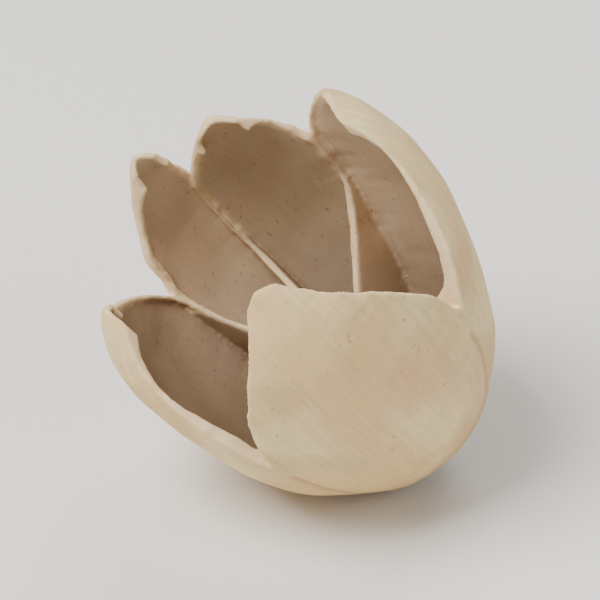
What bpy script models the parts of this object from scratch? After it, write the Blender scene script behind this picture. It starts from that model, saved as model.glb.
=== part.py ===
"""Dried bakuli pod: a woody seed capsule that has split from the tip into five valves.

The pod is first modelled upright, with its own axis along +Z and its base scar at the bottom.
Each valve is a boat: a rounded back with two side walls that turn in towards the axis. Below the
splits the boats are fused into one cup with five cells. The finished pod is then leaned over onto
the small flat spot that it rests on, at the origin.

Lengths are in millimetres and angles in degrees until a point goes into a mesh.
"""

import math

import bmesh
import bpy
from mathutils import Matrix, Vector

MM = 0.001

# The pod's body, a shape of revolution up to the splits
MOUTH_RADIUS = 10.8
WIDEST_HEIGHT = 16.5
BODY_FULLNESS = 2.05

# The five valves, in order round the axis. A split lies between each valve and the next.
SECTORS = (89.0, 96.0, 42.0, 33.0, 100.0)
TIP_HEIGHTS = (23.4, 23.7, 22.9, 24.0, 22.9)
TIP_HALF_WIDTHS = (1.1, 1.5, 1.5, 1.0, 1.1)
SPLIT_HEIGHTS = (9.6, 16.6, 17.8, 12.8, 10.6)
LEANS = (0.0, 2.5, -2.5, -1.0, -1.5)
TWISTS = (-4.0, 0.0, -3.0, -7.0, 6.0)

# How a valve is shaped above its splits
EDGE_BULGE = 1.7
TIP_CURL = 2.0
TIP_ROUNDING = 0.8
CUPPING = 0.5
LEAN_EASES_IN_OVER = 6.0

# The side walls reach the axis at the column, and narrow to a lip along the splits
COLUMN_HEIGHT = 8.8
COLUMN_RADIUS = 2.3
WALL_START_HEIGHT = 9.0
WALL_END_HEIGHT = 14.0
WALL_INNER_RADIUS = 2.15
LIP_DEPTH = 1.1
TIP_LIP_DEPTH = 0.9
LIP_TURNS_OUT_FROM = 0.5
LIP_LAID_FLAT = (-0.4, 0.9)

# Wall thicknesses, and how far neighbouring boats overlap where they are fused
BACK_THICKNESS = 0.9
SIDE_THICKNESS = 0.6
OVERLAP = 0.12
CORNER_EASE = 0.12

# How finely the boats are divided
FIRST_ROW_HEIGHT = 1.5
FUSED_HEIGHT = 9.0
FUSED_ROWS = 10
FREE_ROWS = 12
BACK_COLUMNS = 6
COLUMN_SQUEEZE = 0.8
TURNED_STEPS = 40
MERGE_DISTANCE = 0.003

# How the pod lies
AXIS_LEAN = 36.0
HEADING = 17.0
ROLL = -130.0
FLAT_DEPTH = 0.4


def smooth_step(value):
    """Rise from 0 to 1 between 0 and 1, level at both ends."""
    value = min(max(value, 0.0), 1.0)
    return value * value * (3.0 - 2.0 * value)


def body_radius(height):
    """Outer radius of the pod, widening from the base to the mouth."""
    below = max(WIDEST_HEIGHT - height, 0.0) / WIDEST_HEIGHT
    return MOUTH_RADIUS * (1.0 - below**BODY_FULLNESS) ** (1.0 / BODY_FULLNESS)


class Valve:
    """One of the five boats, with a split on each side of it."""

    def __init__(self, index):
        self.centre = math.radians(sum(SECTORS[:index]) + SECTORS[index] / 2)
        self.half_sector = math.radians(SECTORS[index] / 2)
        self.tip = TIP_HEIGHTS[index]
        self.tip_half_width = TIP_HALF_WIDTHS[index]
        self.lean = math.tan(math.radians(LEANS[index]))
        self.twist = math.radians(TWISTS[index])
        self.splits = {-1: SPLIT_HEIGHTS[index - 1], 1: SPLIT_HEIGHTS[index]}

    def opening(self, height, side):
        """0 up to the split on that side, rising to 1 at the tip."""
        split = self.splits[side]
        return min(max((height - split) / (self.tip - split), 0.0), 1.0)

    def back_radius(self, height):
        """Distance of the valve's midline from the axis, before it leans."""
        above = max(height - WIDEST_HEIGHT, 0.0) / (self.tip - WIDEST_HEIGHT)
        return body_radius(height) - TIP_CURL * above**2

    def lean_shift(self, height):
        """How far the valve has leaned outwards at this height."""
        above = max(height - FUSED_HEIGHT, 0.0)
        return self.lean * above * smooth_step(above / LEAN_EASES_IN_OVER)

    def back_point(self, height, across):
        """Radial and sideways place of a point on the back, across from -1 to 1."""
        side = 1 if across >= 0 else -1
        opening = self.opening(height, side)
        radius = self.back_radius(height)
        angle = across * self.half_sector * (1.0 - opening**EDGE_BULGE)
        eased = CORNER_EASE * (1.0 - opening) * abs(across) ** 8 + CUPPING * opening * across**2
        radial = radius * math.cos(angle) - eased
        sideways = radius * math.sin(angle) + self.tip_half_width * opening**2 * across
        overlap = OVERLAP * (1.0 - smooth_step(opening * 4.0)) * across**8
        radial -= overlap * math.sin(self.half_sector)
        sideways += side * overlap * math.cos(self.half_sector)
        return radial, sideways

    def wall_reach(self, height):
        """Distance of a side wall's inner edge from the axis, as a share of the back's."""
        radius = self.back_radius(height)
        above = (height - WALL_START_HEIGHT) / (WALL_END_HEIGHT - WALL_START_HEIGHT)
        rise = 1.0 - (1.0 - min(max(above, 0.0), 1.0)) ** 2
        nearness_to_tip = smooth_step((height - WALL_END_HEIGHT) / (self.tip - WALL_END_HEIGHT))
        lip = LIP_DEPTH + (TIP_LIP_DEPTH - LIP_DEPTH) * nearness_to_tip
        return (WALL_INNER_RADIUS + (radius - lip - WALL_INNER_RADIUS) * rise) / radius

    def free_edge_point(self, height, side):
        """Radial and sideways place of the inner edge of a side wall."""
        corner_radial, corner_sideways = self.back_point(height, side)
        turned_in = Vector((corner_radial, corner_sideways)) * (self.wall_reach(height) - 1.0)
        inwards, sideways = LIP_LAID_FLAT
        laid_flat = Vector((inwards, side * sideways)).normalized() * turned_in.length
        above = self.opening(height, side) - LIP_TURNS_OUT_FROM
        turned_out = smooth_step(above / (1.0 - LIP_TURNS_OUT_FROM))
        lip = turned_in.lerp(laid_flat, turned_out)
        return corner_radial + lip.x, corner_sideways + lip.y

    def place(self, height, across):
        """A point of the valve: its back from -1 to 1, its side walls' inner edges at -2 and 2."""
        side = 1 if across >= 0 else -1
        opening = self.opening(height, side)
        if abs(across) > 1.0:
            section = Vector(self.free_edge_point(height, side))
        else:
            across *= 1.0 - COLUMN_SQUEEZE * opening * (1.0 - abs(across))
            section = Vector(self.back_point(height, across))
        drop = TIP_ROUNDING * opening**3 * min(across**2, 2.5)
        turn = self.centre + self.twist * self.opening(height, 1) * self.opening(height, -1)
        point = Vector((section.x + self.lean_shift(height), section.y, height - drop))
        return Matrix.Rotation(turn, 3, "Z") @ point * MM

    def columns(self):
        """Where the columns of points run across the valve, from one free edge to the other."""
        back = [2.0 * step / BACK_COLUMNS - 1.0 for step in range(BACK_COLUMNS + 1)]
        return [-2.0] + back + [2.0]

    def heights(self):
        """Heights of the rows, alike for all valves up to where they come free."""
        fused = [FIRST_ROW_HEIGHT + (FUSED_HEIGHT - FIRST_ROW_HEIGHT) * (step / FUSED_ROWS) ** 1.2
                 for step in range(FUSED_ROWS)]
        free = [FUSED_HEIGHT + (self.tip - FUSED_HEIGHT) * (step / FREE_ROWS) ** 0.9
                for step in range(FREE_ROWS + 1)]
        return fused + free


def new_object(name, mesh, collection):
    """Put a mesh into the scene as a named object."""
    thing = bpy.data.objects.new(name, mesh)
    collection.objects.link(thing)
    return thing


def make_boat(index, collection):
    """One valve: an open surface over its back and side walls, given its thickness."""
    valve = Valve(index)
    heights = valve.heights()
    bm = bmesh.new()
    rows = [[bm.verts.new(valve.place(height, across)) for across in valve.columns()]
            for height in heights]
    for lower, upper in zip(rows, rows[1:]):
        for column in range(len(lower) - 1):
            bm.faces.new((lower[column], lower[column + 1], upper[column + 1], upper[column]))
    mesh = bpy.data.meshes.new(f"valve_{index + 1}")
    bm.to_mesh(mesh)
    bm.free()
    boat = new_object(mesh.name, mesh, collection)
    mark_thick_back(boat, valve, heights)
    solidify = boat.modifiers.new("wall", "SOLIDIFY")
    solidify.thickness = BACK_THICKNESS * MM
    solidify.offset = -1.0
    solidify.use_even_offset = True
    solidify.vertex_group = "back"
    solidify.thickness_vertex_group = SIDE_THICKNESS / BACK_THICKNESS
    return boat


def mark_thick_back(boat, valve, heights):
    """Weight the points of the back: full thickness low on the valve, thinner to the tip."""
    group = boat.vertex_groups.new(name="back")
    columns = len(valve.columns())
    for row, height in enumerate(heights):
        weight = 1.0 - valve.opening(height, 1)
        first = row * columns + 2
        group.add(list(range(first, first + BACK_COLUMNS - 1)), weight, "REPLACE")


def make_core(collection):
    """The turned middle of the pod: column, thick base, round scar and stalk stub."""
    profile = [
        (0.0, COLUMN_HEIGHT), (0.8, COLUMN_HEIGHT - 0.1), (1.35, COLUMN_HEIGHT - 0.7),
        (COLUMN_RADIUS, COLUMN_HEIGHT - 1.8), (COLUMN_RADIUS + 0.1, 6.0), (2.4, 4.5), (4.4, 3.9),
        (6.4, 3.5), (6.0, 2.8), (5.6, 2.2), (body_radius(1.7) + 0.06, 1.7),
        (body_radius(1.2) + 0.05, 1.2), (body_radius(0.8) + 0.04, 0.8), (2.9, 0.45), (2.75, 0.28),
        (2.5, 0.2), (2.25, 0.3), (2.1, 0.6), (1.3, 0.8), (0.95, 0.65), (0.85, 0.1), (0.65, -0.1),
        (0.0, -0.2),
    ]
    mesh = bpy.data.meshes.new("pod")
    points = [(radius * MM, 0.0, height * MM) for radius, height in profile]
    mesh.from_pydata(points, [(step, step + 1) for step in range(len(points) - 1)], [])
    core = new_object("pod", mesh, collection)
    screw = core.modifiers.new("turned", "SCREW")
    screw.steps = TURNED_STEPS
    screw.render_steps = TURNED_STEPS
    screw.use_merge_vertices = True
    screw.merge_threshold = 0.00001
    return core


def fuse(core, boats):
    """Join the five boats to the core as one closed body."""
    union = core.modifiers.new("grown together", "BOOLEAN")
    union.operation = "UNION"
    union.operand_type = "COLLECTION"
    union.collection = boats
    union.solver = "EXACT"
    evaluated = core.evaluated_get(bpy.context.evaluated_depsgraph_get())
    fused = bpy.data.meshes.new_from_object(evaluated)
    merge_near_points(fused)
    core.modifiers.clear()
    core.data = fused
    for boat in list(boats.objects):
        bpy.data.objects.remove(boat)
    bpy.data.collections.remove(boats)


def merge_near_points(mesh):
    """Close up the hair-thin faces that a union leaves where surfaces nearly meet."""
    bm = bmesh.new()
    bm.from_mesh(mesh)
    bmesh.ops.triangulate(bm, faces=bm.faces)
    bmesh.ops.remove_doubles(bm, verts=bm.verts, dist=MERGE_DISTANCE * MM)
    bmesh.ops.dissolve_degenerate(bm, edges=bm.edges, dist=MERGE_DISTANCE * MM)
    bm.to_mesh(mesh)
    bm.free()


def lay_down(pod):
    """Lean the pod over with the flat spot that it gets at the origin."""
    turn = (Matrix.Rotation(math.radians(HEADING), 3, "Z")
            @ Matrix.Rotation(math.radians(-AXIS_LEAN), 3, "Y")
            @ Matrix.Rotation(math.radians(ROLL), 3, "Z"))
    points = [turn @ vertex.co for vertex in pod.data.vertices]
    surface = min(point.z for point in points) + FLAT_DEPTH * MM
    cut_off = [point for point in points if point.z < surface]
    middle_x = (min(point.x for point in cut_off) + max(point.x for point in cut_off)) / 2
    middle_y = (min(point.y for point in cut_off) + max(point.y for point in cut_off)) / 2
    pod.rotation_euler = turn.to_euler()
    pod.location = (-middle_x, -middle_y, -surface)


def cut_flat_spot(pod, cutters):
    """Take off what would reach below the surface, which leaves the flat spot."""
    bpy.ops.mesh.primitive_cube_add(size=0.02, location=(0.0, 0.0, -0.01))
    ground = bpy.context.active_object
    ground.name = "ground_cutter"
    for collection in list(ground.users_collection):
        collection.objects.unlink(ground)
    cutters.objects.link(ground)
    ground.hide_render = True
    ground.display_type = "WIRE"
    cut = pod.modifiers.new("flat spot", "BOOLEAN")
    cut.operation = "DIFFERENCE"
    cut.object = ground
    cut.solver = "EXACT"


def dried_capsule():
    """Pale tan, matt, slightly fibrous dried pod wall."""
    material = bpy.data.materials.new("dried_capsule_wall")
    material.use_nodes = True
    shader = material.node_tree.nodes["Principled BSDF"]
    shader.inputs["Base Color"].default_value = (0.60, 0.47, 0.32, 1.0)
    shader.inputs["Roughness"].default_value = 0.75
    shader.inputs["Metallic"].default_value = 0.0
    return material


def main():
    """Build the pod from an empty scene."""
    for thing in list(bpy.data.objects):
        bpy.data.objects.remove(thing)
    scene_root = bpy.context.scene.collection
    pods = bpy.data.collections.new("dried_bakuli_pod")
    cutters = bpy.data.collections.new("cutters")
    boats = bpy.data.collections.new("boats")
    for collection in (pods, cutters, boats):
        scene_root.children.link(collection)
    for index in range(len(SECTORS)):
        make_boat(index, boats)
    pod = make_core(pods)
    fuse(pod, boats)
    lay_down(pod)
    cut_flat_spot(pod, cutters)
    pod.data.materials.clear()
    pod.data.materials.append(dried_capsule())
    pod.data.shade_smooth()
    pod.data.set_sharp_from_angle(angle=math.radians(35))


main()
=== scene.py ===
import math

import bmesh
import bpy
import numpy as np
from mathutils import Matrix, Vector, noise
from mathutils.bvhtree import BVHTree


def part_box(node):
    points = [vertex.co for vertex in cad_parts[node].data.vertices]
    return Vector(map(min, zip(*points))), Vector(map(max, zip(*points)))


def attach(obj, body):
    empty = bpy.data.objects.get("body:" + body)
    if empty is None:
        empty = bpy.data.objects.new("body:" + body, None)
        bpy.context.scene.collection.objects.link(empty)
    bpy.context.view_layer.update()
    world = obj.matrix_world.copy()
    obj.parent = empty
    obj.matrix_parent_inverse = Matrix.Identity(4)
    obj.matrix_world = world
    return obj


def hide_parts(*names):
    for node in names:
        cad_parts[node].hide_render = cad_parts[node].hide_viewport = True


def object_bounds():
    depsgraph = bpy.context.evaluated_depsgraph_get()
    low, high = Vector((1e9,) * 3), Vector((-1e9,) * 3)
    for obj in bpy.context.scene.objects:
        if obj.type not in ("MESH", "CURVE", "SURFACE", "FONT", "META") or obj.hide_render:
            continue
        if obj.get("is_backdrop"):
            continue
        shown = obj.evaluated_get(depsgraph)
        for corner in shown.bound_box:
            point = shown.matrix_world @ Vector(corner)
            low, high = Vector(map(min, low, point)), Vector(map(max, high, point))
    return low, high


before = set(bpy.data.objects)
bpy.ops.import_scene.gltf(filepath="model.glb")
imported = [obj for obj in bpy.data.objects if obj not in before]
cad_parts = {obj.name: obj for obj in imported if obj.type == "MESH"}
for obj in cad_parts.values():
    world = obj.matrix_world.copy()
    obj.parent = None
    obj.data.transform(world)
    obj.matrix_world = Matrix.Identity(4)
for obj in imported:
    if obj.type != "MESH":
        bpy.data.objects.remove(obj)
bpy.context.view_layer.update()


# The closed body of the pod.
# A real one is a woody capsule that swelled from the flower's ovary, round at the base and
# widest near its mouth. Lengths are millimetres, with the pod upright on its base, unless a
# comment says otherwise.
MM = 0.001
MOUTH_RADIUS = 10.8
WIDEST_HEIGHT = 16.5
BODY_FULLNESS = 2.05
FUSED_HEIGHT = 9.0


def smooth_step(value):
    """Rise from 0 to 1 between 0 and 1, level at both ends."""
    value = np.clip(value, 0.0, 1.0)
    return value * value * (3.0 - 2.0 * value)


def body_radius(height):
    """Outer radius of the pod, widening from the base to the mouth."""
    below = max(WIDEST_HEIGHT - height, 0.0) / WIDEST_HEIGHT
    return MOUTH_RADIUS * (1.0 - below**BODY_FULLNESS) ** (1.0 / BODY_FULLNESS)


# The five valves.
# As the capsule dried it split from the tip along the walls between its cells. Each valve is a
# boat: a rounded back, and the two halves of the cell walls, which turn in along the splits.
SECTORS = (89.0, 96.0, 42.0, 33.0, 100.0)
TIP_HEIGHTS = (23.4, 23.7, 22.9, 24.0, 22.9)
TIP_HALF_WIDTHS = (1.1, 1.5, 1.5, 1.0, 1.1)
SPLIT_HEIGHTS = (9.6, 16.6, 17.8, 12.8, 10.6)
LEANS = (0.0, 2.5, -2.5, -1.0, -1.5)
TWISTS = (-4.0, 0.0, -3.0, -7.0, 6.0)
EDGE_BULGE = 1.7
TIP_CURL = 2.0
TIP_ROUNDING = 0.8
CUPPING = 0.5
LEAN_EASES_IN_OVER = 6.0
WALL_START_HEIGHT = 9.0
WALL_END_HEIGHT = 14.0
WALL_INNER_RADIUS = 2.15
LIP_DEPTH = 0.85
TIP_LIP_DEPTH = 0.2
LIP_TURNS_OUT_FROM = 0.5
LIP_LAID_FLAT = (-0.4, 0.9)
BACK_THICKNESS = 0.7
SIDE_THICKNESS = 0.38
OVERLAP = 0.16
OVERLAP_FADE = 4.0
CORNER_EASE = 0.12
CORNER_SHARPNESS = 8
TIP_DROP_LIMIT = 2.5

# The sizes and depths of the tears along the splits and of the frays along the cell walls. The
# tears are full after a sixth of the opening. The frays set in and fade out at a height, over a
# span above it. The noise for each valve, side, wall and size is read these steps apart.
EDGE_TEARS = ((0.9, 0.16), (0.32, 0.08))
TEAR_ONSET = 6.0
TEAR_SHARPNESS = 6
TEAR_NOISE = (9.1, 3.3, 50.0)
CELL_WALL_FRAYS = ((2.6, 0.5), (0.7, 0.16))
FRAYS_RISE = (7.0, 3.0)
FRAYS_FADE = (12.0, 4.0)
FRAY_NOISE = (7.7, 9.0)

# How each valve's sheet is divided into rows up the pod and columns across the back and the walls.
FIRST_ROW_HEIGHT = 1.5
FUSED_ROWS, FUSED_ROW_CROWDING = 12, 1.2
FREE_ROWS, FREE_ROW_CROWDING = 40, 0.9
BACK_COLUMNS = (-1.0, -0.93, -0.66, -0.33, 0.0, 0.33, 0.66, 0.93, 1.0)
WALL_COLUMNS = (1.12, 1.5, 2.0)
COLUMN_SQUEEZE = 0.8
CAGE_ROUNDING = 2

# What a face of a valve was in the living pod, kept so that the wall's colours can follow it. The
# cell's side of each comes three numbers later, and the edge of the sheet six numbers later.
BACK_FACE, SPLIT_FACE, FUSED_FACE = 0, 1, 2
VALVE_FACES = (BACK_FACE, SPLIT_FACE, FUSED_FACE)
CELL_SHIFT, RIM_SHIFT = 3, 6


def ramp(value, start, span):
    """Rise smoothly from 0 at the start to 1 one span further on."""
    return smooth_step((value - start) / span)


class Valve:
    """One of the five boats, with a split on each side of it."""

    def __init__(self, index):
        self.centre = math.radians(sum(SECTORS[:index]) + SECTORS[index] / 2)
        self.half_sector = math.radians(SECTORS[index] / 2)
        self.tip = TIP_HEIGHTS[index]
        self.tip_half_width = TIP_HALF_WIDTHS[index]
        self.lean = math.tan(math.radians(LEANS[index]))
        self.twist = math.radians(TWISTS[index])
        self.splits = {-1: SPLIT_HEIGHTS[index - 1], 1: SPLIT_HEIGHTS[index]}
        self.index = index

    def torn(self, height, side):
        """How far the split edge is torn back, by small bites of two sizes."""
        started = min(self.opening(height, side) * TEAR_ONSET, 1.0)
        per_valve, per_side, per_size = TEAR_NOISE
        edge = self.index * per_valve + side * per_side
        return started * sum(depth * noise.noise(Vector((height / size, edge, size * per_size)))
                             for size, depth in EDGE_TEARS)

    def frayed(self, height, side):
        """How much further in a wall between two cells reaches, or less far where it is worn."""
        bound = (self.index + (1 if side > 0 else 0)) % len(SECTORS)
        along = ramp(height, *FRAYS_RISE) * (1.0 - ramp(height, *FRAYS_FADE))
        per_bound, per_size = FRAY_NOISE
        place = bound * per_bound
        return along * sum(depth * noise.noise(Vector((height / size, place, size * per_size)))
                           for size, depth in CELL_WALL_FRAYS)

    def opening(self, height, side):
        """0 up to the split on that side, rising to 1 at the tip."""
        split = self.splits[side]
        return min(max((height - split) / (self.tip - split), 0.0), 1.0)

    def back_radius(self, height):
        """Distance of the valve's midline from the axis, before it leans."""
        above = max(height - WIDEST_HEIGHT, 0.0) / (self.tip - WIDEST_HEIGHT)
        return body_radius(height) - TIP_CURL * above**2

    def lean_shift(self, height):
        """How far the valve has leaned outwards at this height."""
        above = max(height - FUSED_HEIGHT, 0.0)
        return self.lean * above * smooth_step(above / LEAN_EASES_IN_OVER)

    def back_point(self, height, across):
        """Radial and sideways place of a point on the back, across from -1 to 1."""
        side = 1 if across >= 0 else -1
        opening = self.opening(height, side)
        radius = self.back_radius(height)
        angle = across * self.half_sector * (1.0 - opening**EDGE_BULGE)
        eased = (CORNER_EASE * (1.0 - opening) * abs(across) ** CORNER_SHARPNESS
                 + CUPPING * opening * across**2)
        radial = radius * math.cos(angle) - eased
        sideways = radius * math.sin(angle) + self.tip_half_width * opening**2 * across
        overlap = OVERLAP * (1.0 - smooth_step(opening * OVERLAP_FADE)) * across**CORNER_SHARPNESS
        radial -= overlap * math.sin(self.half_sector)
        sideways += side * overlap * math.cos(self.half_sector)
        sideways -= side * self.torn(height, side) * across**TEAR_SHARPNESS
        return radial, sideways

    def wall_reach(self, height):
        """Distance of a side wall's inner edge from the axis, as a share of the back's."""
        radius = self.back_radius(height)
        above = (height - WALL_START_HEIGHT) / (WALL_END_HEIGHT - WALL_START_HEIGHT)
        rise = 1.0 - (1.0 - min(max(above, 0.0), 1.0)) ** 2
        nearness_to_tip = smooth_step((height - WALL_END_HEIGHT) / (self.tip - WALL_END_HEIGHT))
        lip = LIP_DEPTH + (TIP_LIP_DEPTH - LIP_DEPTH) * nearness_to_tip
        return (WALL_INNER_RADIUS + (radius - lip - WALL_INNER_RADIUS) * rise) / radius

    def free_edge_point(self, height, side):
        """Radial and sideways place of the inner edge of a side wall."""
        corner_radial, corner_sideways = self.back_point(height, side)
        reach = self.wall_reach(height) + self.frayed(height, side) / self.back_radius(height)
        turned_in = Vector((corner_radial, corner_sideways)) * (reach - 1.0)
        inwards, sideways = LIP_LAID_FLAT
        laid_flat = Vector((inwards, side * sideways)).normalized() * turned_in.length
        above = self.opening(height, side) - LIP_TURNS_OUT_FROM
        turned_out = smooth_step(above / (1.0 - LIP_TURNS_OUT_FROM))
        lip = turned_in.lerp(laid_flat, turned_out)
        return corner_radial + lip.x, corner_sideways + lip.y

    def place(self, height, across):
        """A point of the valve: the back from -1 to 1, the side walls on to -2 and 2."""
        side = 1 if across >= 0 else -1
        opening = self.opening(height, side)
        if abs(across) > 1.0:
            corner = Vector(self.back_point(height, side))
            section = corner.lerp(Vector(self.free_edge_point(height, side)), abs(across) - 1.0)
        else:
            across *= 1.0 - COLUMN_SQUEEZE * opening * (1.0 - abs(across))
            section = Vector(self.back_point(height, across))
        drop = TIP_ROUNDING * opening**3 * min(across**2, TIP_DROP_LIMIT)
        turn = self.centre + self.twist * self.opening(height, 1) * self.opening(height, -1)
        point = Vector((section.x + self.lean_shift(height), section.y, height - drop))
        return Matrix.Rotation(turn, 3, "Z") @ point

    def columns(self):
        """Where the columns of points run across the valve, from one free edge to the other."""
        return (*(-place for place in reversed(WALL_COLUMNS)), *BACK_COLUMNS, *WALL_COLUMNS)

    def heights(self):
        """Heights of the rows, alike for all valves up to where they come free."""
        fused = [(step / FUSED_ROWS) ** FUSED_ROW_CROWDING for step in range(FUSED_ROWS)]
        free = [(step / FREE_ROWS) ** FREE_ROW_CROWDING for step in range(FREE_ROWS + 1)]
        return ([FIRST_ROW_HEIGHT + (FUSED_HEIGHT - FIRST_ROW_HEIGHT) * part for part in fused]
                + [FUSED_HEIGHT + (self.tip - FUSED_HEIGHT) * part for part in free])


def new_object(name, mesh):
    """Put a mesh into the scene as a named object."""
    thing = bpy.data.objects.new(name, mesh)
    bpy.context.scene.collection.objects.link(thing)
    return thing


def final_mesh(thing):
    """The object's mesh with its modifiers applied, and the object gone."""
    graph = bpy.context.evaluated_depsgraph_get()
    mesh = bpy.data.meshes.new_from_object(thing.evaluated_get(graph))
    bpy.data.objects.remove(thing)
    return mesh


def valve_mesh(index):
    """One valve as a closed boat with rounded edges, its faces marked by what they were."""
    valve = Valve(index)
    columns = valve.columns()
    bm = bmesh.new()
    rows = [[bm.verts.new(valve.place(height, across)) for across in columns]
            for height in valve.heights()]
    for height, lower, upper in zip(valve.heights(), rows, rows[1:]):
        for column in range(len(lower) - 1):
            corners = (lower[column], lower[column + 1], upper[column + 1], upper[column])
            face = bm.faces.new(corners)
            middle = (columns[column] + columns[column + 1]) / 2
            if abs(middle) < 1.0:
                face.material_index = BACK_FACE
            elif height > valve.splits[1 if middle > 0 else -1]:
                face.material_index = SPLIT_FACE
            else:
                face.material_index = FUSED_FACE
    mesh = bpy.data.meshes.new("valve")
    bm.to_mesh(mesh)
    bm.free()
    boat = new_object("valve", mesh)
    group = boat.vertex_groups.new(name="back")
    for row, height in enumerate(valve.heights()):
        weight = 1.0 - valve.opening(height, 1)
        first = row * len(columns) + len(WALL_COLUMNS) + 1
        group.add(list(range(first, first + len(BACK_COLUMNS) - 2)), weight, "REPLACE")
    for _ in range(RIM_SHIFT + len(VALVE_FACES)):
        mesh.materials.append(None)
    wall = boat.modifiers.new("wall", "SOLIDIFY")
    wall.thickness = BACK_THICKNESS
    wall.offset = -1.0
    wall.use_even_offset = True
    wall.vertex_group = "back"
    wall.thickness_vertex_group = SIDE_THICKNESS / BACK_THICKNESS
    wall.material_offset = CELL_SHIFT
    wall.material_offset_rim = RIM_SHIFT
    rounded = boat.modifiers.new("rounded", "SUBSURF")
    rounded.levels = CAGE_ROUNDING
    rounded.render_levels = CAGE_ROUNDING
    return final_mesh(boat)


# The middle and base of the pod.
# A short column stands where the cell walls meet. Below it the base is thick, with a round scar
# where the pod sat on its stalk and a broken stub of the stalk in the middle of the scar.
COLUMN_HEIGHT = 8.8
COLUMN_RADIUS = 2.3
BASE_EDGE_HEIGHT = 1.75
TURNED_STEPS = 96
WELD_DISTANCE = 0.0001
CORE_INSIDE, CORE_OUTSIDE = 9, 10


def core_mesh():
    """Column, cell floor, base and scar as one solid, turned from points of radius and height."""
    inside = [
        (0.0, COLUMN_HEIGHT), (0.8, COLUMN_HEIGHT - 0.1), (1.35, COLUMN_HEIGHT - 0.7),
        (COLUMN_RADIUS, COLUMN_HEIGHT - 1.8), (COLUMN_RADIUS + 0.1, 6.0), (2.5, 4.9), (2.9, 4.3),
        (3.6, 3.95), (4.4, 3.8), (5.2, 3.75), (5.8, 3.9), (6.35, 4.25), (6.9, 4.9), (7.5, 5.6),
        (7.3, 4.9), (6.4, 3.3), (6.0, 2.8), (5.6, 2.2),
    ]
    outside = [
        (body_radius(1.7) + 0.06, 1.7), (body_radius(1.2) + 0.05, 1.2),
        (body_radius(0.8) + 0.04, 0.8), (2.9, 0.45), (2.75, 0.28), (2.5, 0.2), (2.25, 0.3),
        (2.1, 0.6), (1.3, 0.8), (0.95, 0.65), (0.85, 0.1), (0.65, -0.1), (0.0, -0.2),
    ]
    mesh = bpy.data.meshes.new("core")
    points = [(radius, 0.0, height) for radius, height in inside + outside]
    mesh.from_pydata(points, [(step, step + 1) for step in range(len(points) - 1)], [])
    core = new_object("core", mesh)
    turned = core.modifiers.new("turned", "SCREW")
    turned.steps = TURNED_STEPS
    turned.render_steps = TURNED_STEPS
    turned.use_merge_vertices = True
    turned.merge_threshold = WELD_DISTANCE
    mesh = final_mesh(core)
    for _ in range(CORE_OUTSIDE + 1):
        mesh.materials.append(None)
    for face in mesh.polygons:
        above = face.center.z > BASE_EDGE_HEIGHT
        face.material_index = CORE_INSIDE if above else CORE_OUTSIDE
    return mesh


# Grown together.
# The five valves and the core grew as one wall, so their closed meshes are remeshed into one
# skin, which also gives the soft fillets where the cell walls run into the back. The skin is
# then thinned to fewer triangles.
SKIN_GRAIN = 0.125
SKIN_SOFTENING, SOFTENING_SHARE = 1, 0.5
SKIN_TRIANGLES = 180000

parts = [valve_mesh(index) for index in range(len(SECTORS))] + [core_mesh()]
together = bmesh.new()
for part in parts:
    together.from_mesh(part)
bmesh.ops.triangulate(together, faces=together.faces)
grown_from = BVHTree.FromBMesh(together)
face_was = [face.material_index for face in together.faces]
joined = bpy.data.meshes.new("grown_pod")
together.to_mesh(joined)
together.free()
skin = new_object("grown_pod", joined)
remesh = skin.modifiers.new("one skin", "REMESH")
remesh.mode = "VOXEL"
remesh.voxel_size = SKIN_GRAIN
softened = skin.modifiers.new("softened", "SMOOTH")
softened.factor = SOFTENING_SHARE
softened.iterations = SKIN_SOFTENING
pod_mesh = final_mesh(skin)
thinned = new_object("thinned_skin", pod_mesh)
fewer = thinned.modifiers.new("fewer triangles", "DECIMATE")
fewer.ratio = SKIN_TRIANGLES / (2 * len(pod_mesh.polygons))
pod_mesh = final_mesh(thinned)
pod_mesh.name = "pod_wall"

count = len(pod_mesh.vertices)
upright = np.empty(count * 3)
pod_mesh.vertices.foreach_get("co", upright)
upright = upright.reshape(count, 3)
normals = np.empty(count * 3)
pod_mesh.vertices.foreach_get("normal", normals)
normals = normals.reshape(count, 3)
edges = np.empty(len(pod_mesh.edges) * 2, int)
pod_mesh.edges.foreach_get("vertices", edges)
edges = edges.reshape(-1, 2)
neighbours = np.bincount(edges.ravel(), minlength=count)
height = upright[:, 2]
from_axis = np.hypot(upright[:, 0], upright[:, 1])
turn = np.arctan2(upright[:, 1], upright[:, 0])
outer_radius = np.array([body_radius(level) for level in np.clip(height, 0.0, None)])


def spread(values, rounds):
    """Blur a value that each point of the skin has over its neighbours."""
    for _ in range(rounds):
        summed = (np.bincount(edges[:, 0], values[edges[:, 1]], count)
                  + np.bincount(edges[:, 1], values[edges[:, 0]], count))
        values = (values + summed / neighbours) / 2
    return values


# Which faces make up the cells' sides and the split edges, how far off a face is looked for, and
# how much it matters there that the face looks the same way as the skin.
CELL_FACES = (FUSED_FACE, *(face + CELL_SHIFT for face in VALVE_FACES), CORE_INSIDE)
EDGE_FACES = (SPLIT_FACE, *(face + RIM_SHIFT for face in VALVE_FACES))
SEARCH_REACH, FACING_COUNTS = 0.22, 0.4

# Below the first height a cell's side lies at least this deep under the outside. Whatever lies
# deeper than the second depth, such as the worn inner ends of the cell walls, is inside as well,
# up to a height where that fades.
THIN_WALL_FROM, BASE_WALL_DEPTH = 6.0, 0.6
DEEP_INSIDE, DEEP_FLOOR, DEEP_TOP, DEEP_FADE = 1.5, 3.0, 12.0, 4.0
SCAR_TOP = 1.1
CELL_BLUR, EDGE_BLUR = 4, 3


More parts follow.
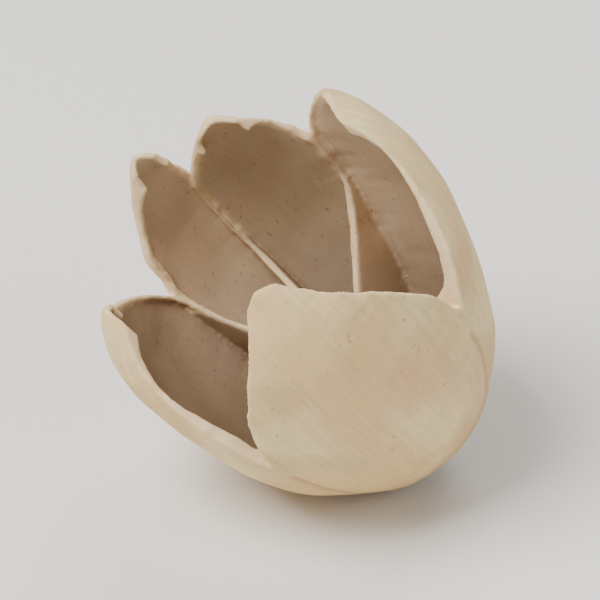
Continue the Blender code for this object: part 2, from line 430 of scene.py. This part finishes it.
def face_below(place, normal):
    """What the wall was in the living pod at a point: the near face that looks the same way."""
    place, normal = Vector(place), Vector(normal)
    near = grown_from.find_nearest_range(place, SEARCH_REACH) or [grown_from.find_nearest(place)]
    best = min(near, key=lambda found: found[3] + FACING_COUNTS * (1.0 - normal.dot(found[1])))
    return face_was[best[2]]


was = np.array([face_below(*both) for both in zip(upright, normals)])
buried = (height > THIN_WALL_FROM) | (from_axis < outer_radius - BASE_WALL_DEPTH)
deep_inside = ((from_axis < outer_radius - DEEP_INSIDE) * smooth_step(height - DEEP_FLOOR)
               * smooth_step((DEEP_TOP - height) / DEEP_FADE))
in_cell = (np.isin(was, CELL_FACES) & buried).astype(float)
in_cell = spread(np.maximum(in_cell, deep_inside), CELL_BLUR)
on_rim = spread(np.isin(was, EDGE_FACES).astype(float), EDGE_BLUR)
at_scar = spread(((was == CORE_OUTSIDE) & (height < SCAR_TOP)).astype(float), EDGE_BLUR)


# Dried.
# Drying pulls the wall out of true, raises fine ribs along its fibres, wrinkles it across them
# and leaves the split edges ragged. Shallow furrows with a seam line mark where two valves are
# still joined. Apart from the warp, each is a small move of the skin along its normal.
WARP_SIZE, WARP_DEPTH = 7.0, 0.28
DENT_SIZE, DENT_DEPTH = 2.4, 0.08
RIB_SPACING, RIB_LENGTH, RIB_DEPTH, RIB_LOSS_AT_EDGE = 1.3, 9.0, 0.05, 0.4
WRINKLE_SPACING, WRINKLE_LENGTH, WRINKLE_DEPTH = 0.9, 4.0, 0.15
WRINKLE_PATCH_SIZE, WRINKLE_PATCH_BIAS = 5.0, 0.1
RAGGED_SIZE, RAGGED_DEPTH = 0.8, 0.04
SEAM_WIDTH, SEAM_DEPTH = 0.28, 0.13
FURROW_WIDTH, FURROW_DEPTH = 1.5, 0.2
MIDRIB_WIDTH, MIDRIB_HEIGHT = 1.1, 0.1
LINE_WANDER, LINE_WANDER_SIZE = 0.25, 3.0
SCAR_CRACKS = {"number": 17, "waver": 2.0, "waver_size": 1.5, "sharpness": 0.4, "seed": 9}
STAR_CRACKS = {"number": 5, "waver": 0.8, "waver_size": 1.2, "sharpness": 0.5, "seed": 11}
SCAR_CRACK_DEPTH, STAR_CRACK_DEPTH, STAR_RAGGED = 0.12, 0.35, 0.3
STAR_MARGIN, STAR_REACH_DOWN = 0.4, 2.5

# The height where each of these sets in and the span over which it grows.
WARP_RISE = (4.0, 10.0)
RAGGED_RISE = (9.0, 4.0)
MIDRIBS_RISE = (7.0, 8.0)
SEAMS_RISE = (1.5, 3.0)
SEAMS_PAST_SPLIT, SEAMS_FADE = 0.6, 1.2

# The radius at which the pod is unrolled, how much its fibres flare with the distance from the
# axis, and how far apart the places lie at which two seeds read the noise.
UNROLLED_RADIUS = 9.0
FIBRE_FLARE = 0.2
SEEDS_APART = (17.3, 5.1, 9.7)


def grain(points, seed, scale=1.0):
    """Smooth noise from -1 to 1 at each point, the points first divided by the scale."""
    offset = Vector([seed * apart for apart in SEEDS_APART])
    return np.array([noise.noise(Vector(point / scale) + offset) for point in points])


def unrolled(along, across):
    """The skin laid out round and up the pod, so that a pattern can run along its fibres."""
    ring = UNROLLED_RADIUS / across
    return np.stack([ring * np.cos(turn), ring * np.sin(turn),
                     (height + FIBRE_FLARE * from_axis) / along], axis=1)


def radial_cracks(number, waver, waver_size, sharpness, seed):
    """Cracks that run out from the axis: -1 in a crack, rising to 0 between two."""
    wavering = turn * number / 2 + waver * grain(upright, seed, waver_size)
    return np.abs(np.sin(wavering)) ** sharpness - 1.0


def line_up_the_pod(degrees, width):
    """1 on the line up the pod at an angle round it, falling to 0 at its sides."""
    away = np.angle(np.exp(1j * (turn - math.radians(degrees)))) * from_axis + line_wander
    return np.exp(-(away / width) ** 2)


warp = np.stack([grain(upright, seed, WARP_SIZE) for seed in (1, 2, 3)], axis=1)
ribs = grain(unrolled(RIB_LENGTH, RIB_SPACING), 4)
wrinkles = grain(unrolled(WRINKLE_SPACING, WRINKLE_LENGTH), 5)
wrinkle_patches = np.clip(grain(upright, 6, WRINKLE_PATCH_SIZE) + WRINKLE_PATCH_BIAS, 0.0, 1.0)
ragged = grain(upright, 7, RAGGED_SIZE) + grain(upright, 8, RAGGED_SIZE / 2) / 2
line_wander = LINE_WANDER * grain(upright, 10, LINE_WANDER_SIZE)
dents = grain(upright, 12, DENT_SIZE)
cracks = radial_cracks(**SCAR_CRACKS)
star = radial_cracks(**STAR_CRACKS)
on_column = ((was == CORE_INSIDE) & (from_axis < COLUMN_RADIUS + STAR_MARGIN)
             & (height > COLUMN_HEIGHT - STAR_REACH_DOWN))
on_column = spread(on_column.astype(float), EDGE_BLUR)

seams = np.zeros(count)
furrows = np.zeros(count)
midribs = np.zeros(count)
for index, split in enumerate(SPLIT_HEIGHTS):
    bound = sum(SECTORS[:index + 1])
    below_split = smooth_step((split + SEAMS_PAST_SPLIT - height) / SEAMS_FADE)
    reach = ramp(height, *SEAMS_RISE) * below_split
    seams = np.maximum(seams, line_up_the_pod(bound, SEAM_WIDTH) * reach)
    furrows = np.maximum(furrows, line_up_the_pod(bound, FURROW_WIDTH) * reach)
    middle_line = line_up_the_pod(bound - SECTORS[index] / 2, MIDRIB_WIDTH)
    midribs = np.maximum(midribs, middle_line * ramp(height, *MIDRIBS_RISE))
seams *= 1.0 - np.maximum(in_cell, at_scar)
furrows *= 1.0 - np.maximum(in_cell, at_scar)
midribs *= 1.0 - np.maximum(in_cell, on_rim)

rise = (RIB_DEPTH * ribs * (1.0 - RIB_LOSS_AT_EDGE * on_rim)
        + DENT_DEPTH * dents
        - WRINKLE_DEPTH * np.abs(wrinkles) * wrinkle_patches
        + RAGGED_DEPTH * ragged * on_rim * ramp(height, *RAGGED_RISE)
        + SCAR_CRACK_DEPTH * cracks * at_scar
        + STAR_CRACK_DEPTH * (star + STAR_RAGGED * ragged) * on_column
        + MIDRIB_HEIGHT * midribs
        - SEAM_DEPTH * seams
        - FURROW_DEPTH * furrows)
warp *= WARP_DEPTH * ramp(height, *WARP_RISE)[:, None]
dried = upright + warp + normals * rise[:, None]


# How the pod lies.
# It rests leaning on the belly of its wall, with its mouth up and to one side, on a spot worn
# flat. The frame's box gives its place, and only the finished points are turned into metres.
AXIS_LEAN = 36.0
HEADING = 17.0
ROLL = -130.0

lie = np.array(Matrix.Rotation(math.radians(HEADING), 3, "Z")
               @ Matrix.Rotation(math.radians(-AXIS_LEAN), 3, "Y")
               @ Matrix.Rotation(math.radians(ROLL), 3, "Z"))
source = np.array([lie @ np.array(v.co) for part in parts for v in part.vertices])
cad_low, cad_high = (np.array(corner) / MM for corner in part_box("pod"))
shift = (cad_low + cad_high) / 2 - (source.min(0) + source.max(0)) / 2
shift[2] = cad_high[2] - source[:, 2].max()
lying = dried @ lie.T + shift
lying[:, 2] = np.maximum(lying[:, 2], 0.0)
pod_mesh.vertices.foreach_set("co", (lying * MM).ravel())
for part in parts + [joined]:
    bpy.data.meshes.remove(part)


# What the wall's colours follow.
# Kept on the mesh for each point: where it was in the upright pod, in millimetres, how far it
# belongs to a cell's inside, a split edge, the scar, a seam or a crack in the column, where the
# cracks get painted shade, and how much painted shade its cell's inside gets.
# Painted shade: how far each cell's inside is darkened towards the dark cell brown, standing in
# for the shade that cell lies in, for the five cells in turn.
CELL_PAINTED_SHADES = (0.2, 0.0, 0.2, 0.0, 0.5)
SHADE_BLUR = 6

cell_of = np.searchsorted(np.cumsum(SECTORS)[:-1], np.degrees(turn) % 360.0)
painted_shade = spread(np.array(CELL_PAINTED_SHADES)[cell_of], SHADE_BLUR)


def keep(name, values, kind):
    """Store one value for each point of the skin."""
    layer = pod_mesh.attributes.new(name, kind, "POINT")
    layer.data.foreach_set("vector" if kind == "FLOAT_VECTOR" else "value", values.ravel())


keep("upright", upright, "FLOAT_VECTOR")
keep("fibres", unrolled(1.0, 1.0), "FLOAT_VECTOR")
keep("in_cell", in_cell, "FLOAT")
keep("on_rim", on_rim, "FLOAT")
keep("at_scar", at_scar, "FLOAT")
keep("seams", seams, "FLOAT")
# Painted shade: the cracks in the column's top are darkened in the colour as well as sunk.
keep("crack_painted_shade", -star * on_column, "FLOAT")
keep("painted_shade", painted_shade, "FLOAT")
pod_mesh.materials.clear()
pod_mesh.polygons.foreach_set("use_smooth", [True] * len(pod_mesh.polygons))
pod_mesh.update()


# Dried capsule wall.
# A papery skin bleached to tan over a harder woody layer. It is matt, faintly fibrous along the
# valves and freckled, pinkish pale on the split edges and browner inside the cells. Inside the
# cells the brown is darkened further with painted shade: lower down, more in some cells than in
# others, and in the column's cracks. Single fibres and pores are too fine to show, so bundles of
# fibres and groups of pores are drawn.
SKIN_TAN, SKIN_PALE, SKIN_GREENISH, SKIN_PINKISH = "#dbbb84", "#ecd49f", "#c6b683", "#dcae80"
SKIN_BASE = "#b48f5c"
# The dark cell brown serves both for the freckles inside the cells and for painted shade.
CELL_BROWN, CELL_FRECKLE_AND_SHADE, CELL_LIGHT = "#c2a584", "#69503a", "#d0b796"
EDGE_PALE = "#ecd0a6"
SCAR_GREY = "#8d7c66"
FRECKLE_BROWN = "#8a6c4a"
FIBRE_BROWN = "#b8966c"
SEAM_BROWN = "#a38458"
PATCH_SIZE = 6.0
FRECKLE_SIZE = 0.36
MOTTLE_SIZE = 1.8
PORE_SIZE = 0.25
FIBRE_WIDTH, FIBRE_LENGTH = 0.28, 4.5
FIBRE_RELIEF, PORE_RELIEF = 0.04, 0.03
GREEN_PATCH_FINENESS, PINK_PATCH_FINENESS = 1.25, 0.77
SEAM_STAIN, PATCHES_INSIDE, SCAR_DUST = 0.5, 0.4, 0.75
ROUGHNESS_LOW, ROUGHNESS_HIGH = 0.62, 0.86
WALL_IOR, WALL_SPECULAR = 1.45, 0.35
SOFT_STEP = {"interpolation_type": "SMOOTHSTEP"}
TWO_COLOURS = {"data_type": "RGBA"}
PRODUCT = {"operation": "MULTIPLY"}


def colour(code):
    """An sRGB hex colour as linear red, green, blue and alpha."""
    channels = [int(code[place:place + 2], 16) / 255 for place in (1, 3, 5)]
    linear = [c / 12.92 if c <= 0.04045 else ((c + 0.055) / 1.055) ** 2.4 for c in channels]
    return (*linear, 1.0)


capsule = bpy.data.materials.new("dried_capsule_wall")
capsule.use_nodes = True
tree = capsule.node_tree
shader = tree.nodes["Principled BSDF"]


def add(kind, settings=None, out=0, **inputs):
    """Add a node with its settings, link or set its inputs by name or place, give one output."""
    node = tree.nodes.new("ShaderNode" + kind)
    for name, value in (settings or {}).items():
        setattr(node, name, value)
    for name, value in inputs.items():
        place = int(name[1:]) if name[1:].isdigit() else name.replace("_", " ")
        if isinstance(value, bpy.types.NodeSocket):
            tree.links.new(value, node.inputs[place])
        else:
            node.inputs[place].default_value = value
    return node.outputs[out]


upright_place = add("Attribute", {"attribute_name": "upright"}, "Vector")
fibre_place = add("Attribute", {"attribute_name": "fibres"}, "Vector")
cell = add("Attribute", {"attribute_name": "in_cell"}, "Fac")
rim = add("Attribute", {"attribute_name": "on_rim"}, "Fac")
scar = add("Attribute", {"attribute_name": "at_scar"}, "Fac")
seam = add("Attribute", {"attribute_name": "seams"}, "Fac")
painted_crack_shade = add("Attribute", {"attribute_name": "crack_painted_shade"}, "Fac")
painted_shade = add("Attribute", {"attribute_name": "painted_shade"}, "Fac")
height_mm = add("SeparateXYZ", out=2, i0=upright_place)

broad = add("TexNoise", Vector=upright_place, Scale=1.0 / PATCH_SIZE, Detail=3.0)
patches = add("MapRange", SOFT_STEP, Value=broad, From_Min=0.35, From_Max=0.65)
finer = GREEN_PATCH_FINENESS / PATCH_SIZE
smaller = add("TexNoise", Vector=upright_place, Scale=finer, Detail=2.0)
green_patches = add("MapRange", SOFT_STEP, Value=smaller, From_Min=0.52, From_Max=0.72, To_Max=0.6)
coarser = PINK_PATCH_FINENESS / PATCH_SIZE
larger = add("TexNoise", Vector=upright_place, Scale=coarser, Detail=2.0)
pink_patches = add("MapRange", SOFT_STEP, Value=larger, From_Min=0.5, From_Max=0.7, To_Max=0.55)
fibre_scale = (1.0 / FIBRE_WIDTH, 1.0 / FIBRE_WIDTH, 1.0 / FIBRE_LENGTH)
drawn_out = add("Mapping", i0=fibre_place, Scale=fibre_scale)
fibres = add("TexNoise", Vector=drawn_out, Scale=1.0, Detail=4.0)
fibre_lines = add("MapRange", SOFT_STEP, Value=fibres, From_Min=0.42, From_Max=0.6, To_Max=0.16)
spots = add("TexNoise", Vector=upright_place, Scale=1.0 / FRECKLE_SIZE, Detail=2.0)
freckles = add("MapRange", SOFT_STEP, Value=spots, From_Min=0.66, From_Max=0.74, To_Max=0.45)
uneven_height = add("Math", {"operation": "SUBTRACT"}, i0=height_mm, i1=patches)
near_base = add("MapRange", SOFT_STEP, Value=uneven_height, From_Min=4.0, From_Max=0.5, To_Max=0.6)
seam_stain = add("Math", PRODUCT, i0=seam, i1=SEAM_STAIN)
green_inside = add("Math", PRODUCT, i0=green_patches, i1=PATCHES_INSIDE)
pink_inside = add("Math", PRODUCT, i0=pink_patches, i1=PATCHES_INSIDE)

outside = add("Mix", TWO_COLOURS, 2, i0=patches, i6=colour(SKIN_TAN), i7=colour(SKIN_PALE))
outside = add("Mix", TWO_COLOURS, 2, i0=green_patches, i6=outside, i7=colour(SKIN_GREENISH))
outside = add("Mix", TWO_COLOURS, 2, i0=pink_patches, i6=outside, i7=colour(SKIN_PINKISH))
outside = add("Mix", TWO_COLOURS, 2, i0=fibre_lines, i6=outside, i7=colour(FIBRE_BROWN))
outside = add("Mix", TWO_COLOURS, 2, i0=freckles, i6=outside, i7=colour(FRECKLE_BROWN))
outside = add("Mix", TWO_COLOURS, 2, i0=near_base, i6=outside, i7=colour(SKIN_BASE))
outside = add("Mix", TWO_COLOURS, 2, i0=seam_stain, i6=outside, i7=colour(SEAM_BROWN))

mottled = add("TexNoise", Vector=upright_place, Scale=1.0 / MOTTLE_SIZE, Detail=3.0)
streaks = add("MapRange", SOFT_STEP, Value=fibres, From_Min=0.2, From_Max=0.8)
cell_tone = add("Mix", {}, i0=0.5, i2=mottled, i3=streaks)
# Painted shade: the cells' insides darken towards the dark cell brown from 12 mm down to 3 mm,
# where the cavity lies in shade.
painted_deep_shade = add("MapRange", SOFT_STEP, Value=height_mm, From_Min=12.0, From_Max=3.0, To_Max=0.8)
inside = add("Mix", TWO_COLOURS, 2, i0=cell_tone, i6=colour(CELL_BROWN), i7=colour(CELL_LIGHT))
inside = add("Mix", TWO_COLOURS, 2, i0=pink_inside, i6=inside, i7=colour(SKIN_PINKISH))
inside = add("Mix", TWO_COLOURS, 2, i0=green_inside, i6=inside, i7=colour(SKIN_GREENISH))
inside = add("Mix", TWO_COLOURS, 2, i0=freckles, i6=inside, i7=colour(CELL_FRECKLE_AND_SHADE))
# Painted shade: each cell's inside darkened by its own share.
inside = add("Mix", TWO_COLOURS, 2, i0=painted_shade, i6=inside, i7=colour(CELL_FRECKLE_AND_SHADE))
inside = add("Mix", TWO_COLOURS, 2, i0=painted_deep_shade, i6=inside, i7=colour(CELL_FRECKLE_AND_SHADE))
# Painted shade in the column's cracks.
inside = add("Mix", TWO_COLOURS, 2, i0=painted_crack_shade, i6=inside, i7=colour(CELL_FRECKLE_AND_SHADE))

free_height = add("MapRange", SOFT_STEP, Value=height_mm, From_Min=8.0, From_Max=13.0, To_Max=0.8)
split_edge = add("Math", PRODUCT, i0=rim, i1=free_height)
dusty_scar = add("Math", PRODUCT, i0=scar, i1=SCAR_DUST)
wall = add("Mix", TWO_COLOURS, 2, i0=cell, i6=outside, i7=inside)
wall = add("Mix", TWO_COLOURS, 2, i0=split_edge, i6=wall, i7=colour(EDGE_PALE))
wall = add("Mix", TWO_COLOURS, 2, i0=dusty_scar, i6=wall, i7=colour(SCAR_GREY))
tree.links.new(wall, shader.inputs["Base Color"])

rough = add("MapRange", Value=fibres, To_Min=ROUGHNESS_LOW, To_Max=ROUGHNESS_HIGH)
tree.links.new(rough, shader.inputs["Roughness"])
shader.inputs["IOR"].default_value = WALL_IOR
shader.inputs["Specular IOR Level"].default_value = WALL_SPECULAR
shader.inputs["Metallic"].default_value = 0.0

pores = add("TexNoise", Vector=upright_place, Scale=1.0 / PORE_SIZE, Detail=4.0)
relief = add("Bump", Strength=0.5, Distance=FIBRE_RELIEF * MM, Height=fibres)
relief = add("Bump", Strength=0.6, Distance=PORE_RELIEF * MM, Height=pores, Normal=relief)
tree.links.new(relief, shader.inputs["Normal"])
pod_mesh.materials.append(capsule)

pod = new_object("pod_wall", pod_mesh)
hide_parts("pod")
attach(pod, "root")


# The studio.
# A plain pale floor, three soft lights, a pale sky and the photograph's view from above. The
# floor is matt paper, which throws a soft light back up under the pod. Lengths are metres here,
# apart from the sensor's width, and the frame is as wide as stated at the pod.
FLOOR_SIZE = 4.0
PAPER_PALE, PAPER_ROUGHNESS = "#e9e6e1", 0.9
SKY_WHITE, SKY_STRENGTH = "#f2f0ec", 0.35
VIEW_ELEVATION = 35.0
VIEW_DISTANCE = 0.30
FRAME_WIDTH = 0.035
SENSOR_WIDTH = 36.0

# Each light's name, size, power in watts and place as seen from the pod.
LIGHTS = (
    ("key_light", 0.22, 3.0, (-0.20, -0.12, 0.36)),
    ("fill_light", 0.35, 0.6, (0.35, -0.20, 0.25)),
    ("back_light", 0.25, 0.9, (0.10, 0.30, 0.30)),
)

floor_mesh = bpy.data.meshes.new("floor")
half = FLOOR_SIZE / 2
floor_mesh.from_pydata([(-half, -half, 0), (half, -half, 0), (half, half, 0), (-half, half, 0)],
                       [], [(0, 1, 2, 3)])
floor = new_object("floor", floor_mesh)
paper = bpy.data.materials.new("matt_paper")
paper.use_nodes = True
paper_shader = paper.node_tree.nodes["Principled BSDF"]
paper_shader.inputs["Base Color"].default_value = colour(PAPER_PALE)
paper_shader.inputs["Roughness"].default_value = PAPER_ROUGHNESS
floor_mesh.materials.append(paper)
floor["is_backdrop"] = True

low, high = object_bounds()
middle = (Vector(low) + Vector(high)) / 2


def soft_light(name, size, power, toward):
    """A square area light that faces the pod from the given direction."""
    lamp = bpy.data.lights.new(name, "AREA")
    lamp.size = size
    lamp.energy = power
    light = bpy.data.objects.new(name, lamp)
    bpy.context.scene.collection.objects.link(light)
    light.location = middle + Vector(toward)
    light.rotation_euler = (-Vector(toward)).to_track_quat("-Z", "Y").to_euler()


for light_facts in LIGHTS:
    soft_light(*light_facts)

world = bpy.data.worlds.new("studio")
world.use_nodes = True
sky = world.node_tree.nodes["Background"]
sky.inputs["Color"].default_value = colour(SKY_WHITE)
sky.inputs["Strength"].default_value = SKY_STRENGTH
bpy.context.scene.world = world

camera_data = bpy.data.cameras.new("camera")
camera_data.sensor_width = SENSOR_WIDTH
camera_data.lens = SENSOR_WIDTH * VIEW_DISTANCE / FRAME_WIDTH
camera = bpy.data.objects.new("camera", camera_data)
bpy.context.scene.collection.objects.link(camera)
elevation = math.radians(VIEW_ELEVATION)
back_from_pod = Vector((0.0, -math.cos(elevation), math.sin(elevation)))
camera.location = middle + back_from_pod * VIEW_DISTANCE
camera.rotation_euler = (-back_from_pod).to_track_quat("-Z", "Y").to_euler()
bpy.context.scene.camera = camera
